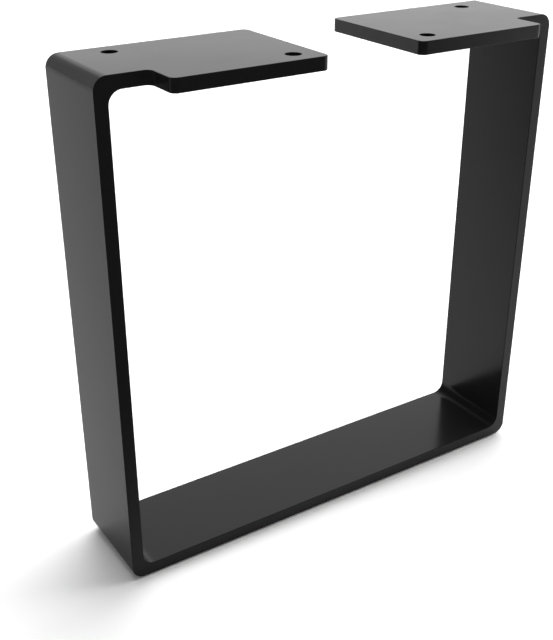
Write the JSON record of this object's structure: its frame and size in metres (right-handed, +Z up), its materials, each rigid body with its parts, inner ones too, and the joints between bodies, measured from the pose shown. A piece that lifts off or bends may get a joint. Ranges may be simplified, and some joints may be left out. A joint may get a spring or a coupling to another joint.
{
  "type": "furniture leg",
  "caption": "Square furniture leg bent from a flat black steel strip, open at the top between two flat screw flanges that are wider than the strip.",
  "frame": {"origin": "on the floor, at the centre of the flat underside of the foot, between the two uprights", "axes": "+Z up, from the floor to the furniture; X along the foot, from one upright to the other; -Y towards the front, the side on which the flanges stand out past the strip"},
  "size_m": [0.2, 0.055, 0.2],
  "materials": {
    "black_coat": "satin"
  },
  "bodies": {
    "root": {"leg_frame": "black_coat"}
  },
  "joints": []
}
